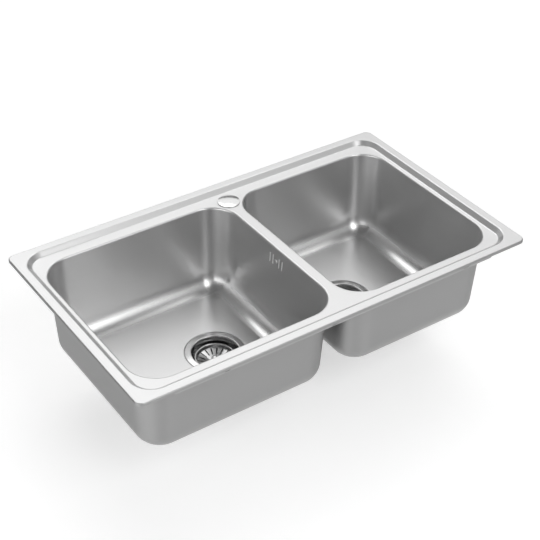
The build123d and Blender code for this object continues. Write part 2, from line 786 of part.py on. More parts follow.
    # Grip that snaps over the head of the clamp screw
    with BuildPart() as basket_grip:
        with BuildSketch(waste_plane):
            with BuildLine():
                Polyline(
                    (knob_stud_radius + fit_gap, hub_under),
                    (grip_radius, hub_under),
                    (grip_radius, seal_clamp_level - fit_gap),
                    (grip_foot_radius, seal_clamp_level - fit_gap),
                    (grip_foot_radius, seal_clamp_level - fit_gap - grip_foot_height),
                    (screw_head_radius + rest_gap, seal_clamp_level - fit_gap - grip_foot_height),
                    (screw_head_radius + rest_gap, head_room),
                    (knob_stud_radius + fit_gap, head_room),
                    close=True,
                )
            make_face()
        revolve(axis=waste_axis)
    basket_grip.part.label = f"{side}_basket_grip"
    export_step(basket_grip.part, f"parts/{side}_basket_grip.step")

    # Rubber plug seal under the basket, which closes the drain slots when pushed down
    with BuildPart() as basket_seal:
        with BuildSketch(waste_plane):
            with BuildLine():
                Polyline(
                    (seal_inner_radius, hub_under - fit_gap),
                    (basket_hub_radius, hub_under - fit_gap),
                    (plug_seal_radius, seal_foot + plug_lip_width),
                    (plug_seal_radius, seal_foot),
                    (plug_seal_radius - plug_lip_width, seal_foot),
                    (grip_foot_radius + plug_lip_width, seal_clamp_level),
                    (seal_inner_radius, seal_clamp_level),
                    close=True,
                )
            make_face()
        revolve(axis=waste_axis)
    basket_seal.part.label = f"{side}_basket_seal"
    export_step(basket_seal.part, f"parts/{side}_basket_seal.step")
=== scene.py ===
# %% [markdown]
# # A two-bowl kitchen sink in satin steel
# This lesson dresses a finished CAD model of an inset sink. Every CAD part keeps its place and its size.
# Smooth metal shows each facet of a coarse mesh, so the large pressings and the turned parts are drawn
# again here as fine surfaces. The parts that are out of sight keep their CAD mesh and get a finish.

import bpy
import numpy as np
from mathutils import Matrix, Vector
from mathutils.geometry import delaunay_2d_cdt


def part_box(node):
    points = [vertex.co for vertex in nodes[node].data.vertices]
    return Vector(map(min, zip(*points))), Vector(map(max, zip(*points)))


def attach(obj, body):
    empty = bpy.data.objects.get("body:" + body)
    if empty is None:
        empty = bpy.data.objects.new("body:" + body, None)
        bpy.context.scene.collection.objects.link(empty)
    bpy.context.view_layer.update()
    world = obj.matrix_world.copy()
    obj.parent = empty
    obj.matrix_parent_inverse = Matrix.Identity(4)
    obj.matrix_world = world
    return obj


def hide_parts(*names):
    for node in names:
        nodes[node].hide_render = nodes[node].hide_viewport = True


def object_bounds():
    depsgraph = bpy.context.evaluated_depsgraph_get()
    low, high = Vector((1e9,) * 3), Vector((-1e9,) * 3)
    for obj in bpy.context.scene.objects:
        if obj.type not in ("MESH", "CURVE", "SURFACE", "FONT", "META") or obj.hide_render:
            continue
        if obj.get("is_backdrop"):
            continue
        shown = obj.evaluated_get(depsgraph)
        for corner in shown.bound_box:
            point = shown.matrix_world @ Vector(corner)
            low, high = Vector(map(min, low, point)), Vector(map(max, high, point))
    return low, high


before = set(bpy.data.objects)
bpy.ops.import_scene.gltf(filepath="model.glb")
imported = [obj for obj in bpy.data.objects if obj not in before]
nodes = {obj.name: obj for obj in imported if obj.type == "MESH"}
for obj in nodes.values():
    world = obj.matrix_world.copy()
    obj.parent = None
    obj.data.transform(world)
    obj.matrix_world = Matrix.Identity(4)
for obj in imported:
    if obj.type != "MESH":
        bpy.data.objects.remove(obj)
cad_low, cad_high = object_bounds()
print("CAD parts:", len(nodes), "size in mm:", [round(1000 * side) for side in cad_high - cad_low])

# %% [markdown]
# ## Units, colours and shader nodes
# Workshop sizes are in millimetres and Blender works in metres, so one factor turns the first into the
# second. Colours are picked as sRGB hex values, as in any paint program, and shaders want linear light.
# Shader nodes could be wired by hand, one line for each value. A single helper that adds a node with its
# values and links keeps each recipe short.

# %% Helpers for colours and nodes
MM = 0.001


def linear(hex_colour):
    """Linear RGBA of an sRGB hex colour: c / 12.92 in the darks, ((c + 0.055) / 1.055) ** 2.4 above."""
    channel = np.array([int(hex_colour[start:start + 2], 16) for start in (1, 3, 5)]) / 255
    light = np.where(channel <= 0.04045, channel / 12.92, ((channel + 0.055) / 1.055) ** 2.4)
    return (*light, 1.0)


def add_node(tree, kind, values=None, links=None, **settings):
    """One shader node: settings are its own options, values and links go to its inputs."""
    node = tree.nodes.new(kind)
    for name, setting in settings.items():
        setattr(node, name, setting)
    for key, value in (values or {}).items():
        node.inputs[key].default_value = value
    for key, source in (links or {}).items():
        tree.links.new(source, node.inputs[key])
    return node


print("mid grey in linear light:", round(float(linear("#808080")[0]), 3))

# %% [markdown]
# ## Side profiles
# A press bends sheet steel over rounded tools, so the side view of a sink is straight stretches joined
# by arcs. A Bevel modifier could round a mesh's edges, but it gives little say in where the points of a
# bend lie. Here the arcs are worked out exactly. A short guard point on either side of each bend keeps
# the flat stretch truly flat when Blender smooths the shading.

# %% Profiles with rounded corners
BEND_STEPS = 10
GUARD = 0.3


def unit(vector):
    """The vector divided by its length."""
    return vector / np.linalg.norm(vector)


def rounded_profile(corners, radii, steps=BEND_STEPS, guard=GUARD):
    """A polyline with arcs at its inner corners. An arc of radius r touches both sides of a corner
    with angle a at r / tan(a / 2) from it, and swings through 180 degrees less a. A point of the arc
    is a sum of its first and last point, weighted by the sine of the swing that is left and done."""
    corners = np.array(corners, float)
    pieces = [corners[:1]]
    share = np.linspace(0, 1, steps + 1)[:, None]
    for before, corner, after, radius in zip(corners, corners[1:], corners[2:], radii):
        back, ahead = unit(before - corner), unit(after - corner)
        half = np.arccos(np.clip(back @ ahead, -1, 1)) / 2
        reach = radius / np.tan(half)
        centre = corner + unit(back + ahead) * radius / np.sin(half)
        swing = np.pi - 2 * half
        first, last = corner + back * reach - centre, corner + ahead * reach - centre
        arc = (np.sin((1 - share) * swing) * first + np.sin(share * swing) * last) / np.sin(swing)
        guards = corner + np.array([back, ahead]) * (reach + guard)
        pieces += [guards[:1], centre + arc, guards[1:]]
    return np.concatenate(pieces + [corners[-1:]])


print("points of one rounded corner:", len(rounded_profile([(0, 0), (9, 0), (9, 9)], [2])))

# %% [markdown]
# ## Rings
# A pressed sink is rounded rectangles all the way down: the lip, the step and each bowl are one outline
# that shrinks while it sinks. It could be extruded and scaled by hand, loop by loop. A stack of rings,
# one for each point of the side profile, gives the same from a formula and keeps every corner a true arc.

# %% Rings and levels
ARC_STEPS = 24
SIDE_STEPS = 12


def rounded_rings(half_x, half_y, radius):
    """One rounded rectangle for each entry: quarter circles of the radius about the four corner
    centres, and straight sides between them. A column is the same place on every ring."""
    quarter = np.arange(4)[:, None] * np.pi / 2 + np.linspace(0, np.pi / 2, ARC_STEPS + 1)
    circle = np.stack([np.cos(quarter), np.sin(quarter)], axis=-1)
    signs = np.array([[1, 1], [-1, 1], [-1, -1], [1, -1]])[:, None, :]
    middle = np.stack([half_x - radius, half_y - radius], axis=-1)[:, None, None, :]
    arcs = middle * signs + radius[:, None, None, None] * circle
    start, stop = arcs[:, :, -1:], np.roll(arcs, -1, axis=1)[:, :, :1]
    share = (np.arange(1, SIDE_STEPS) / SIDE_STEPS)[:, None]
    return np.concatenate([arcs, start + (stop - start) * share], axis=2).reshape(len(radius), -1, 2)


def at_levels(rings, levels, centre):
    """Flat rings lifted to one level each and moved to a centre: points of rows by columns by 3."""
    heights = np.broadcast_to(levels[:, None, None], (*rings.shape[:2], 1))
    return np.concatenate([rings + np.array(centre), heights], axis=2)


print("columns round a ring:", rounded_rings(*np.array([[50.0], [40.0], [9.0]])).shape[1])

# %% [markdown]
# ## Quads that know the grain
# Grinding leaves fine lines in the steel, and light stretches across them. The finish has to know which
# way they run, so each quad gets UV corners: u runs round the ring and v down the profile. Unwrapping by
# hand would need seams. Here the distances are already known. On level metal the belt runs straight along
# the sink, so there the UV corners are the plan position.

# %% Surfaces of rings
LEVEL_GAP = 0.01


def ring_surface(points):
    """Quads of a closed grid with UV corners: u is the distance round the longest ring, v the mean
    distance down the rows. Where two rows are level, u and v are the plan position instead."""
    rows, columns = points.shape[:2]
    step_round = np.linalg.norm(np.roll(points, -1, axis=1) - points, axis=2)
    longest = step_round[step_round.sum(axis=1).argmax()]
    step_down = np.linalg.norm(np.diff(points, axis=0), axis=2).mean(axis=1)
    u = np.broadcast_to(np.append(0, np.cumsum(longest)), (rows, columns + 1))
    v = np.broadcast_to(np.append(0, np.cumsum(step_down))[:, None], (rows, columns + 1))
    uv = np.stack([u, v], axis=-1)
    row, column = np.meshgrid(np.arange(rows - 1), np.arange(columns), indexing="ij")
    corner_row = np.stack([row, row, row + 1, row + 1], axis=-1).reshape(-1, 4)
    corner_column = np.stack([column, column + 1, column + 1, column], axis=-1).reshape(-1, 4)
    faces = corner_row * columns + corner_column % columns
    corners = uv[corner_row, corner_column]
    level = np.isclose(points[:-1, 0, 2], points[1:, 0, 2], atol=LEVEL_GAP)[corner_row[:, 0]]
    corners[level] = points.reshape(-1, 3)[faces[level], :2]
    return points.reshape(-1, 3), faces, corners


print("rows count as level within", LEVEL_GAP, "mm")

# %% [markdown]
# ## Meshes
# A mesh could be built face by face with bmesh. Whole arrays are quicker and easier to check, so points,
# faces and UV corners go in at once, and a Weld modifier joins surfaces where they meet. The modifiers
# are then made real, and only true folds are marked sharp, so that soft bends stay soft.

# %% Meshes from surfaces
WELD_REACH = 0.002
FOLD_ANGLE = np.radians(40)


def build_mesh(name, surfaces):
    """One object from several surfaces in mm: their points are joined where they meet."""
    starts = np.cumsum([0] + [len(points) for points, _, _ in surfaces])
    faces = [face for (_, quads, _), start in zip(surfaces, starts) for face in (quads + start).tolist()]
    mesh = bpy.data.meshes.new(name)
    mesh.from_pydata(np.concatenate([points for points, _, _ in surfaces]) * MM, [], faces)
    corners = np.concatenate([uv.reshape(-1, 2) for _, _, uv in surfaces]) * MM
    mesh.uv_layers.new(name="grain").data.foreach_set("uv", corners.ravel())
    piece = bpy.data.objects.new(name, mesh)
    bpy.context.scene.collection.objects.link(piece)
    weld = piece.modifiers.new("weld", "WELD")
    weld.merge_threshold = WELD_REACH * MM
    return piece


def make_real(piece):
    """Replaces a piece's mesh by what its modifiers give, smooth but for folds over FOLD_ANGLE."""
    seen = piece.evaluated_get(bpy.context.evaluated_depsgraph_get())
    mesh = bpy.data.meshes.new_from_object(seen)
    piece.modifiers.clear()
    piece.data = mesh
    mesh.shade_smooth()
    mesh.set_sharp_from_angle(angle=FOLD_ANGLE)


print("folds stay sharp from", round(np.degrees(FOLD_ANGLE)), "degrees")

# %% [markdown]
# ## Sheet and holes
# A pressing is about as thick everywhere as the sheet it came from. A second surface could be modelled
# inside the first, but Solidify keeps the distance by itself, away from the side that shows. Only that
# side is ground on the real sink, so an attribute tells the two apart. Holes are punched, and a Boolean
# modifier with a closed cutter is the same idea.

# %% Thickness and cuts
# 1 on the ground side that shows, 0 on the drawn side, which gets the painted shade of the outside
GROUND_UNSHADED = "ground"


def thicken(piece, thickness):
    """Gives a sheet its thickness, on the far side of the one that shows. The new faces come after the
    old ones, so the attribute ground is 1 on the side that shows and 0 on the other."""
    make_real(piece)
    shown = len(piece.data.polygons)
    solid = piece.modifiers.new("sheet", "SOLIDIFY")
    solid.thickness = thickness * MM
    solid.offset = -1
    solid.use_even_offset = True
    make_real(piece)
    share = np.zeros(len(piece.data.polygons))
    share[:shown] = 1
    piece.data.attributes.new(GROUND_UNSHADED, "FLOAT", "FACE").data.foreach_set("value", share)
    print(piece.name, "is", thickness, "mm sheet with", shown, "faces on the side that shows")


def cut(piece, cutter):
    """Takes a closed cutter away from a piece, and the cutter with it."""
    make_real(piece)
    hole = piece.modifiers.new("hole", "BOOLEAN")
    hole.object = cutter
    hole.operation = "DIFFERENCE"
    hole.solver = "EXACT"
    make_real(piece)
    bpy.data.objects.remove(cutter)


# %% [markdown]
# ## Handing a piece over
# Each new surface stands for one CAD part. It moves with the same body, takes the same material slot and
# hides the part that it replaces. This could be written out for each piece. One function does it for all,
# so that none is forgotten, and keeps a list for the finishes.

# %% New pieces
new_pieces = {}


def finish_piece(piece, body, slot, *replaced):
    """Puts a finished piece on its body in place of its CAD parts."""
    make_real(piece)
    new_pieces[piece] = slot
    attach(piece, body)
    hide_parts(*replaced)
    print(piece.name, "stands for", ", ".join(replaced), "with", len(piece.data.polygons), "faces")


# %% [markdown]
# ## Sizes
# The frame says where each part is, so lengths, widths and levels are read from it. They could be typed
# in again, but then they might drift away from the CAD model. What a bounding box can't tell, such as a
# bend radius or a draft angle, is written in millimetres in the step that needs it.

# %% Sizes from the frame
SHEET, COLLAR, SEAT_DEPTH = 0.8, 10.0, 2.4
DRAFT = np.radians(3.2)


def box_mm(node):
    """Lowest and highest corner of a CAD part, in millimetres."""
    low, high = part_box(node)
    return np.array(low) / MM, np.array(high) / MM


def centre_mm(node):
    """Plan centre of a CAD part, in millimetres."""
    low, high = box_mm(node)
    return (low + high)[:2] / 2


deck_low, deck_high = box_mm("deck")
half_length, half_width, rim_top = deck_high
weld_level = deck_low[2]
deck_top = weld_level + COLLAR
bowls = {}
for side in ("left", "right"):
    low, high = box_mm(f"{side}_bowl")
    bowls[side] = {
        "centre": (low + high)[:2] / 2,
        "half": (high - low)[:2] / 2 + COLLAR * np.tan(DRAFT) - SHEET / np.cos(DRAFT),
        "floor": low[2] + SHEET + SEAT_DEPTH,
        "waste": centre_mm(f"{side}_waste_flange"),
    }
    print(side, "bowl mouth in mm:", np.round(2 * bowls[side]["half"], 1))
    print(side, "bowl floor at", round(bowls[side]["floor"], 1), "mm")

# %% [markdown]
# ## The rim
# On the real sink the whole top is one sheet: a press turns down the lip, steps the deck and draws a
# short collar round each bowl. The CAD mesh could be bevelled, but the bends are what catch the light, so
# lip, rim and step are rings along one profile. The lip's corners are tighter than the step's, and
# between the two lies only flat metal.

# %% Lip, rim and step
LIP_FOOT, LIP_CORNER, LIP_BEND = 0.0, 14.0, 2.5
RIM_WIDTH, STEP_RUN, STEP_CORNER, STEP_BEND = 17.5, 9.2, 42.0, 4.0
lip = rounded_profile([(0, LIP_FOOT), (0, rim_top), (RIM_WIDTH / 2, rim_top)], [LIP_BEND])[:-1]
lip_rings = rounded_rings(half_length - lip[:, 0], half_width - lip[:, 0], LIP_CORNER - lip[:, 0])
step = rounded_profile(
    [(-RIM_WIDTH / 2, rim_top), (0, rim_top), (STEP_RUN, deck_top), (2 * STEP_RUN, deck_top)],
    [STEP_BEND, STEP_BEND],
)[1:-1]
step_rings = rounded_rings(
    half_length - RIM_WIDTH - step[:, 0], half_width - RIM_WIDTH - step[:, 0], STEP_CORNER - step[:, 0]
)
origin = (0.0, 0.0)
rim_points = np.concatenate(
    [at_levels(lip_rings, lip[:, 1], origin), at_levels(step_rings, step[:, 1], origin)]
)
print("rim rows:", len(rim_points))

# %% [markdown]
# ## The collars
# Round each bowl the deck rolls over into a short sloping collar, where the bowl is welded on. The collar
# could belong to the bowl's surface, but on the real sink the weld lies below it, so it is part of the
# top. It follows the bowl's outline and slope, which makes the joint flush.

# %% Collars of the bowl mouths
MOUTH_BEND, BOWL_CORNER = 4.0, 58.0
slope_run = np.tan(DRAFT)
mouth = rounded_profile(
    [(-2 * MOUTH_BEND, deck_top), (0, deck_top), (COLLAR * slope_run, weld_level)], [MOUTH_BEND]
)[1:]
collars = {}
for side, bowl in bowls.items():
    half_x, half_y = bowl["half"]
    rings = rounded_rings(half_x - mouth[:, 0], half_y - mouth[:, 0], BOWL_CORNER - mouth[:, 0])
    collars[side] = at_levels(rings, mouth[:, 1], bowl["centre"])
print("collar rows:", len(mouth))

# %% [markdown]
# ## The flat of the deck
# Between the step and the collars the deck is flat, with a hole for a tap. A Boolean cut could open a
# plain sheet, but its points might miss those of the collars by a hair. A Delaunay triangulation fills
# the region between the loops and uses exactly their points, so it joins its neighbours without a gap.

# %% Flat of the deck
TAP_HOLE, TAP_POINTS = 17.5, 96
KEEP_INSIDE, SAME_POINT = 1, 1e-6


def circle_points(centre, radius, count):
    """Points round a circle: the centre plus the radius times cosine and sine of equal turns."""
    turn = np.arange(count) * 2 * np.pi / count
    return np.array(centre) + radius * np.stack([np.cos(turn), np.sin(turn)], axis=1)


def flat_with_holes(outer, holes, level):
    """A flat region between an outer loop and its holes, as Delaunay triangles facing up. The holes are
    convex, so the triangles with all three corners on one hole are the ones that fill it."""
    loops = [outer, *holes]
    owner = np.repeat(np.arange(len(loops)), [len(loop) for loop in loops])
    ends = np.concatenate([np.roll(np.flatnonzero(owner == loop), -1) for loop in range(len(loops))])
    edges = np.stack([np.arange(len(owner)), ends], axis=1).tolist()
    plan = np.concatenate(loops)
    faces = np.array(delaunay_2d_cdt(plan.tolist(), edges, [], KEEP_INSIDE, SAME_POINT)[2])
    first, second, third = owner[faces].T
    faces = faces[(first != second) | (second != third) | (first == 0)]
    return np.column_stack([plan, np.full(len(plan), level)]), faces, plan[faces]


tap_hole = centre_mm("tap_hole_cap")
mouths = [collar[0, :, :2] for collar in collars.values()]
tap_ring = circle_points(tap_hole, TAP_HOLE, TAP_POINTS)
flat = flat_with_holes(rim_points[-1, :, :2], [*mouths, tap_ring], deck_top)
top_surfaces = [ring_surface(rim_points), *map(ring_surface, collars.values()), flat]
pressed_top = build_mesh("pressed_top", top_surfaces)
thicken(pressed_top, SHEET)

# %% [markdown]
# ## The lip stays as drawn, in painted shade
# The grinding belt touches the rim and the deck, while the turned-down lip keeps the duller skin of the
# drawn sheet, with the darker tint of painted shade that the outside of the bowls has too. A second
# material would end in a hard border. Instead the attribute fades out over the bend, by each face's
# distance from the outline of the lip.

# %% Lip left as drawn, in painted shade
centres = np.empty(3 * len(pressed_top.data.polygons))
pressed_top.data.polygons.foreach_get("center", centres)
# Distance inwards from a rounded rectangle: the corner radius less what lies beyond the corner centres
beyond = np.abs(centres.reshape(-1, 3)[:, :2] / MM) - (np.array([half_length, half_width]) - LIP_CORNER)
inwards = LIP_CORNER - np.linalg.norm(np.maximum(beyond, 0), axis=1) - np.minimum(beyond.max(axis=1), 0)
ground_unshaded_share = np.empty(len(inwards))
ground_unshaded_values = pressed_top.data.attributes[GROUND_UNSHADED].data
ground_unshaded_values.foreach_get("value", ground_unshaded_share)
# Off the ground side the lip takes the darker drawn tint, a painted shade
ground_unshaded_values.foreach_set("value", ground_unshaded_share * np.clip(inwards / LIP_BEND, 0, 1))
finish_piece(pressed_top, "sink", "bowl_steel", "deck")

# %% [markdown]
# ## The bowls
# Each bowl is drawn deep from one sheet, then welded to the collar and ground flush, so no seam shows. A
# box with rounded edges would be close, but its floor could not run cleanly into a round waste. Here the
# outline shrinks with the draft of the walls, rounds into the floor on a large radius and ends in the
# seat for the waste. On the floor each ring point slides straight towards the point of the seat that lies
# in the same direction from the waste, which turns the rounded rectangle into a circle.

# %% Bowl surfaces
FLOOR_BEND, FLOOR_STEPS, FLOOR_ROWS = 38.0, 28, 8
FLANGE_RADIUS, CUP_RADIUS, CUP_HOLE_GAP = 57.7, 45.0, 2.0
SEAT_GAP, SEAT_BEND = 1.3, 1.0
SMALL_STEPS, SMALL_GUARD = 6, GUARD / 3


def bowl_points(bowl):
    """Rows of a bowl: the outline moved in by the wall profile, then plan lines to the waste seat,
    then circles down into the seat and in to the hole."""
    floor_level = bowl["floor"]
    foot = (deck_top - floor_level) * slope_run
    corners = [(COLLAR * slope_run, weld_level), (foot, floor_level), (foot + BOWL_CORNER, floor_level)]
    wall = rounded_profile(corners, [FLOOR_BEND], FLOOR_STEPS)[:-1]
    half_x, half_y = bowl["half"]
    rings = rounded_rings(half_x - wall[:, 0], half_y - wall[:, 0], BOWL_CORNER - wall[:, 0])
    walls = at_levels(rings, wall[:, 1], bowl["centre"])
    seat_radius = FLANGE_RADIUS + SEAT_GAP
    corners = [
        (seat_radius + 2 * SEAT_BEND, floor_level),
        (seat_radius, floor_level),
        (seat_radius, floor_level - SEAT_DEPTH),
        (CUP_RADIUS + CUP_HOLE_GAP, floor_level - SEAT_DEPTH),
    ]
    seat = rounded_profile(corners, [SEAT_BEND, SEAT_BEND], SMALL_STEPS, SMALL_GUARD)[1:]
    away = walls[-1, :, :2] - bowl["waste"]
    direction = away / np.linalg.norm(away, axis=1)[:, None]
    circles = at_levels(seat[:, :1, None] * direction, seat[:, 1], bowl["waste"])
    share = np.linspace(0, 1, FLOOR_ROWS)[1:-1, None, None]
    floor = walls[-1] + (circles[0] - walls[-1]) * share
    return np.concatenate([walls, floor, circles])


for side, bowl in bowls.items():
    bowl["piece"] = build_mesh(f"{side}_bowl_sheet", [ring_surface(bowl_points(bowl))])
    thicken(bowl["piece"], SHEET)

# %% [markdown]
# ## A punch with round ends
# Overflow slots, strainer slots and drain holes are all punched with the same kind of tool: a rectangle
# with round ends. Each could be its own cutter object. Building all of them in one mesh needs only one
# Boolean cut for a whole row, which is faster and cleaner.

# %% Prisms with round ends
SLOT_ARC = 8


def prisms(name, places, length, width, height, along, up, arc_steps=SLOT_ARC):
    """Closed prisms of a slot outline: half circles about the two ends of a straight middle, repeated
    at each place, from the base plane up by a height. along and up are unit vectors, one or per place."""
    turn = np.linspace(-np.pi / 2, np.pi / 2, arc_steps + 1)
    arc = np.stack([np.cos(turn), np.sin(turn)], axis=1) * width / 2
    end = np.array([(length - width) / 2, 0])
    outline = np.concatenate([arc + end, -arc - end])
    places, along, up = (np.atleast_2d(np.array(value, float)) for value in (places, along, up))
    across = np.cross(up, along)
    loop = outline[None, :, :1] * along[:, None] + outline[None, :, 1:] * across[:, None] + places[:, None]
    points = np.concatenate([loop, loop + height * up[:, None]], axis=1)
    count = len(outline)
    column = np.arange(count)
    after = (column + 1) % count
    starts = 2 * count * np.arange(len(places))[:, None]
    bottoms, tops = starts + column[::-1], starts + column + count
    sides = starts[:, None] + np.stack([column, after, after + count, column + count], axis=1)
    faces = [*bottoms.tolist(), *tops.tolist(), *sides.reshape(-1, 4).tolist()]
    mesh = bpy.data.meshes.new(name)
    mesh.from_pydata(points.reshape(-1, 3) * MM, [], faces)
    cutter = bpy.data.objects.new(name, mesh)
    bpy.context.scene.collection.objects.link(cutter)
    print(name, "has", len(places), "prisms")
    return cutter


# %% [markdown]
# ## The overflow slots
# Four upright slots and a screw hole are punched high in the divider wall of the large bowl, and the
# white overflow box shows through them. They could be painted on, but real edges catch the light. The
# punch goes square through the sloping wall.

# %% Overflow slots
SLOT_PITCH, SLOT_LENGTH, SLOT_WIDTH = 9.6, 21.0, 3.0
SCREW_HOLE, SCREW_ARC = 4.4, 12
OVERFLOW_DROP, PUNCH_BACK, PUNCH_LENGTH = 27.7, 2.0, 5.0
# A slot that is a hair longer than it is wide gives a round hole
HAIR = 0.01
large = bowls["left"]
wall_x = large["centre"][0] + large["half"][0] - OVERFLOW_DROP * slope_run
wall_out = np.array([np.cos(DRAFT), 0, -np.sin(DRAFT)])
wall_up = np.array([np.sin(DRAFT), 0, np.cos(DRAFT)])
punch = np.array([wall_x, 0, deck_top - OVERFLOW_DROP]) - PUNCH_BACK * wall_out
slot_places = [punch + (0, SLOT_PITCH * pitches, 0) for pitches in (-2, -1, 1, 2)]
slot_cutter = prisms(
    "overflow_cutter", slot_places, SLOT_LENGTH, SLOT_WIDTH, PUNCH_LENGTH, wall_up, wall_out
)
cut(large["piece"], slot_cutter)
screw_cutter = prisms(
    "screw_cutter", [punch], SCREW_HOLE + HAIR, SCREW_HOLE, PUNCH_LENGTH, wall_up, wall_out, SCREW_ARC
)
cut(large["piece"], screw_cutter)
for side, bowl in bowls.items():
    finish_piece(bowl["piece"], "sink", "bowl_steel", f"{side}_bowl")

# %% [markdown]
# ## Flanges and cups
# Under each bowl hangs a waste whose flange and cup are one pressing. All of it is round, so a profile is
# spun about the waste's axis: each profile point becomes a circle. The Screw modifier could do the same,
# but a circle is just another ring, so the helpers from above already do it. The cup's drain holes are
# five short slots round its middle.

# %% Flanges and cups
SPIN_COLUMNS = 128
UP = np.array([0.0, 0.0, 1.0])


def spin(profile, centre):
    """Circles about an upright axis: the radius and level of each profile point, at equal turns."""
    circle = circle_points((0.0, 0.0), 1.0, SPIN_COLUMNS)
    return at_levels(profile[:, :1, None] * circle, profile[:, 1], centre)


def round_places(centre, radius, count, level, first=0.0):
    """Places round a circle with the unit vectors that point outwards from its centre."""
    turn = first + np.arange(count) * 2 * np.pi / count
    outwards = np.stack([np.cos(turn), np.sin(turn), np.zeros(count)], axis=1)
    return np.append(centre, level) + radius * outwards, outwards


CUP_SHEET, FLANGE_SINK, FLANGE_RISE, FLANGE_FOOT = 1.0, 0.9, 1.8, -2.2
CUP_TAPER, CUP_DEPTH, SCREW_GAP = 2.0, 38.0, 3.2
FLANGE_BENDS = [1.0, 2.5, 6.0]
DRAIN_RADIUS, DRAIN_LENGTH, DRAIN_WIDTH, DRAIN_COUNT, DRAIN_ARC = 15.0, 13.0, 9.0, 5, 10
DRAIN_BACK, DRAIN_PUNCH = 3.0, 6.0
flange_corners = [
    (FLANGE_RADIUS, FLANGE_FOOT),
    (FLANGE_RADIUS, -FLANGE_SINK),
    (CUP_RADIUS, FLANGE_RISE - FLANGE_SINK),
    (CUP_RADIUS - CUP_TAPER, -CUP_DEPTH),
    (SCREW_GAP, -CUP_DEPTH),
]
for side, bowl in bowls.items():
    profile = rounded_profile(flange_corners, FLANGE_BENDS, guard=SMALL_GUARD) + (0, bowl["floor"])
    cup = build_mesh(f"{side}_flange_and_cup", [ring_surface(spin(profile, bowl["waste"]))])
    thicken(cup, CUP_SHEET)
    below = bowl["floor"] - CUP_DEPTH - DRAIN_BACK
    places, outwards = round_places(bowl["waste"], DRAIN_RADIUS, DRAIN_COUNT, below)
    sideways = np.cross(UP, outwards)
    drain_cutter = prisms(
        "drain_cutter", places, DRAIN_LENGTH, DRAIN_WIDTH, DRAIN_PUNCH, sideways, UP, DRAIN_ARC
    )
    cut(cup, drain_cutter)
    finish_piece(cup, "sink", "waste_steel", f"{side}_waste_flange")

# %% [markdown]
# ## The strainer baskets
# A basket is a shallow dish with a turned rim and a ring of slots that let the water go and hold back
# food. It lifts out of the cup, so it rides on a body of its own. It could be a disc with a painted
# pattern, but the metal catches the light while the slots stay dark, so the slots are really cut.

# %% Strainer baskets
BASKET_SHEET, BASKET_RADIUS, BASKET_DROP, RIM_TURN, BASKET_RIM = 0.8, 40.3, 12.0, 2.5, 4.0
WALL_RUN, WALL_HEIGHT, DISH, HUB_RADIUS, STUD_GAP = 1.5, 7.5, 6.5, 13.0, 2.7
BASKET_BENDS = [1.5] * 4
STRAIN_INNER, STRAIN_OUTER, STRAIN_WIDTH, STRAIN_COUNT = 20.0, 35.0, 2.7, 18
STRAIN_TURN = np.radians(13.0)
BASKET_FOOT = -BASKET_DROP - WALL_HEIGHT
HUB_LEVEL = BASKET_FOOT - DISH
basket_corners = [
    (BASKET_RADIUS, -BASKET_DROP - RIM_TURN),
    (BASKET_RADIUS, -BASKET_DROP),
    (BASKET_RADIUS - BASKET_RIM, -BASKET_DROP),
    (BASKET_RADIUS - BASKET_RIM - WALL_RUN, BASKET_FOOT),
    (HUB_RADIUS, HUB_LEVEL),
    (STUD_GAP, HUB_LEVEL),
]


def make_basket(side, bowl):
    """A basket: its profile spun about the waste's axis, with slots cut half way between the radii."""
    profile = rounded_profile(basket_corners, BASKET_BENDS, SMALL_STEPS, SMALL_GUARD) + (0, bowl["floor"])
    basket = build_mesh(f"{side}_strainer_dish", [ring_surface(spin(profile, bowl["waste"]))])
    thicken(basket, BASKET_SHEET)
    middle = (STRAIN_INNER + STRAIN_OUTER) / 2
    below = bowl["floor"] + HUB_LEVEL - 2 * BASKET_SHEET
    places, outwards = round_places(bowl["waste"], middle, STRAIN_COUNT, below, STRAIN_TURN)
    length, height = STRAIN_OUTER - STRAIN_INNER, DISH + 2 * BASKET_SHEET
    cut(basket, prisms("strain_cutter", places, length, STRAIN_WIDTH, height, outwards, UP))
    finish_piece(basket, f"{side}_strainer", "waste_steel", f"{side}_basket")


print("baskets hang", BASKET_DROP, "mm below the bowl floor")

# %% [markdown]
# ## The strainer knobs
# A turned knob in the middle of each basket is what the hand pulls. It has a waist for the fingers and a
# low dome. A sphere on a cone would have a crease where they meet, so the waist is a profile with a round
# neck, and the dome is an arc that is level at its top.

# %% Strainer knobs
CROWN_STEPS = 24
KNOB_RADIUS, KNOB_NECK, KNOB_HEIGHT, NECK_HEIGHT, SHOULDER_HEIGHT = 7.5, 4.5, 13.4, 5.0, 10.4
STUD_RADIUS, KNOB_STUD = 2.5, 2.6
KNOB_BENDS = [0.2, 0.2, 0.3, 0.8, 0.3]
TINY_GUARD = GUARD / 6


def crown(radius, edge, top):
    """A dome's profile from its edge to its middle: an arc that is level at the top, so its radius is
    (radius squared + rise squared) / (2 rise). It ends on the axis, where the weld makes it one point."""
    rise = top - edge
    bend = (radius**2 + rise**2) / (2 * rise)
    reach = np.linspace(radius, 0, CROWN_STEPS)
    return np.column_stack([reach, top - bend + np.sqrt(bend**2 - reach**2)])


